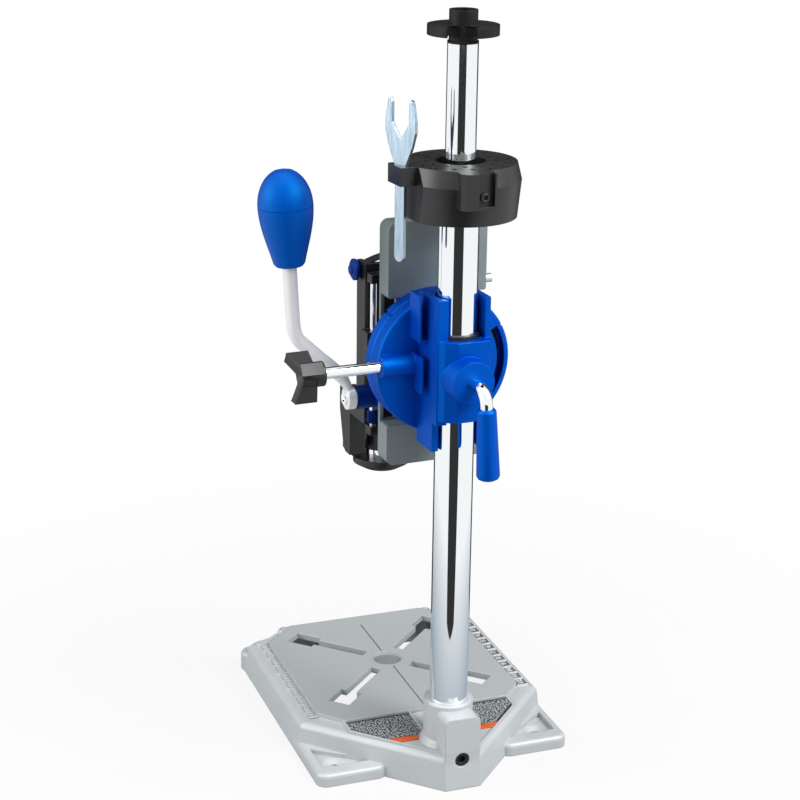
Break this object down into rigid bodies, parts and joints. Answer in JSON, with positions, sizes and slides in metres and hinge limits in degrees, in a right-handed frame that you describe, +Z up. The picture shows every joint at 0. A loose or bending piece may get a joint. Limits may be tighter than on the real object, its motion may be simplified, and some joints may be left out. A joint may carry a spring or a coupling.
{
  "type": "rotary tool drill stand",
  "caption": "Drill stand for a rotary tool: slotted table, telescoping column, storage ring, swinging and tilting head, and a rack-fed tool slide worked by a hand lever.",
  "frame": {"origin": "on the underside of the base, below the centre of the table's round recess", "axes": "+Z up along the column, +Y from the table's recess to the column, +X to the side of the feed lever"},
  "size_m": [0.2014, 0.2504, 0.5063],
  "materials": {
    "cast_grey": "light grey paint on a casting",
    "inlay": "speckled dark inlay",
    "orange": "satin",
    "chrome": "polished",
    "steel": "satin",
    "black": "fine grain",
    "blue": "semi-gloss",
    "dark_blue": "semi-gloss",
    "frame_grey": "satin",
    "lever_grey": "satin",
    "knob_blue": "satin"
  },
  "bodies": {
    "base_body": {"base": "cast_grey", "panel_inlays": "inlay", "panel_stripes": "orange", "socket_set_screw": "black", "lower_column": "chrome", "column_bush": "black", "accessory_ring": "black", "ring_clamp_screw": "black"},
    "mast": {"upper_column": "chrome", "top_hanger": "black"},
    "wrench_body": {"wrench": "steel"},
    "liner_body": {"column_liner": "black"},
    "carriage_body": {"carriage": "blue", "clamp_pad": "black", "tilt_lock_nut": "steel", "pivot_bolt": "steel"},
    "clamp_lever": {"clamp_lever_rod": "chrome", "clamp_lever_grip": "blue"},
    "tilt_lock": {"tilt_lock_rod": "chrome", "tilt_lock_knob": "black"},
    "tilt_head": {"tilt_disc": "blue", "friction_ring": "black", "holder_frame": "frame_grey", "frame_screws": "steel", "rod_lock_screws": "steel", "guide_rods": "chrome", "rod_plates": "black", "pinion_housing": "dark_blue"},
    "depth_stop": {"depth_stop_nut": "blue"},
    "feed": {"pinion": "steel", "feed_lever": "lever_grey", "feed_lever_screw": "chrome", "feed_lever_knob": "knob_blue"},
    "slide_body": {"tool_slide": "black", "feed_rack": "steel", "tool_strap": "black"},
    "thumbscrew": {"strap_thumbscrew": "blue"},
    "nose_clamp": {"nose_nut": "chrome", "nose_sleeve": "black"}
  },
  "joints": [
    {"name": "mast_slide", "type": "slide", "parent": "base_body", "child": "mast", "axis": [0, 0, 1], "range_m": [-0.06, 0.22]},
    {"name": "wrench_lift", "type": "slide", "parent": "base_body", "child": "wrench_body", "axis": [0, 0, 1], "range_m": [0, 0.11]},
    {"name": "carriage_height", "type": "slide", "parent": "base_body", "child": "liner_body", "axis": [0, 0, 1], "range_m": [-0.1, 0.004]},
    {"name": "head_swing", "type": "hinge", "parent": "liner_body", "child": "carriage_body", "pos_m": [0, 0.1207, 0.281], "axis": [0, 0, 1], "range_deg": [-90, 45]},
    {"name": "clamp_lever_turn", "type": "hinge", "parent": "carriage_body", "child": "clamp_lever", "pos_m": [0, 0.1207, 0.281], "axis": [-0.0523, 0.9986, 0], "range_deg": [-90, 45]},
    {"name": "tilt_lock_turn", "type": "hinge", "parent": "carriage_body", "child": "tilt_lock", "pos_m": [0.00086, 0.10422, 0.284], "axis": [0.9986, 0.0523, 0], "continuous": true},
    {"name": "head_tilt", "type": "hinge", "parent": "carriage_body", "child": "tilt_head", "pos_m": [0, 0.1207, 0.281], "axis": [-0.0523, 0.9986, 0], "range_deg": [-90, 90]},
    {"name": "depth_stop_turn", "type": "hinge", "parent": "tilt_head", "child": "depth_stop", "pos_m": [0.0287, 0.04509, 0.2295], "axis": [0, 0, 1], "continuous": true},
    {"name": "feed_turn", "type": "hinge", "parent": "tilt_head", "child": "feed", "pos_m": [0.00343, 0.05529, 0.2482], "axis": [0.9986, 0.0523, 0], "range_deg": [0, 130]},
    {"name": "slide_feed", "type": "slide", "parent": "tilt_head", "child": "slide_body", "axis": [0, 0, -1], "range_m": [0, 0.0239]},
    {"name": "thumbscrew_turn", "type": "hinge", "parent": "slide_body", "child": "thumbscrew", "pos_m": [0.03336, 0.02872, 0.327], "axis": [0.9986, 0.0523, 0], "continuous": true},
    {"name": "nose_nut_turn", "type": "hinge", "parent": "slide_body", "child": "nose_clamp", "pos_m": [0.00632, 0.00016, 0.191], "axis": [0, 0, 1], "continuous": true}
  ],
  "couplings": [
    {"joint": "slide_feed", "follows": "feed_turn", "m_per_rad": 0.0105}
  ]
}
